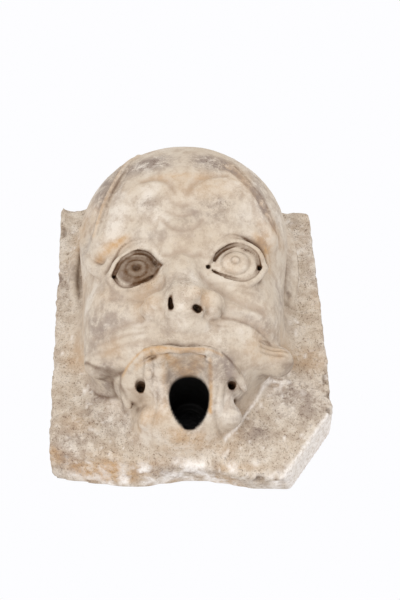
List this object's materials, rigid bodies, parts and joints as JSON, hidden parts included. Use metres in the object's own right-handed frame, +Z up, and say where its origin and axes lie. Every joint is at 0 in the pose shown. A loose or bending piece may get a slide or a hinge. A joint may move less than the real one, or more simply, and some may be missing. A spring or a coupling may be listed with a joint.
{
  "type": "fountain mask",
  "caption": "Carved marble fountain mask: an old man's scowling head in high relief on a rough slab, with a water channel through the open mouth.",
  "frame": {"origin": "on the flat back of the slab, near its middle and above the pipe hole", "axes": "+Z up the face, +X to the viewer's right, -Y out of the wall, the way the face looks; the back faces +Y"},
  "size_m": [0.4107, 0.251, 0.5054],
  "materials": {
    "marble": "weathered marble, worn smooth on the face and roughly tooled on the slab, with ochre and grey stains"
  },
  "bodies": {
    "root": {"marble_mask": "marble"}
  },
  "joints": []
}
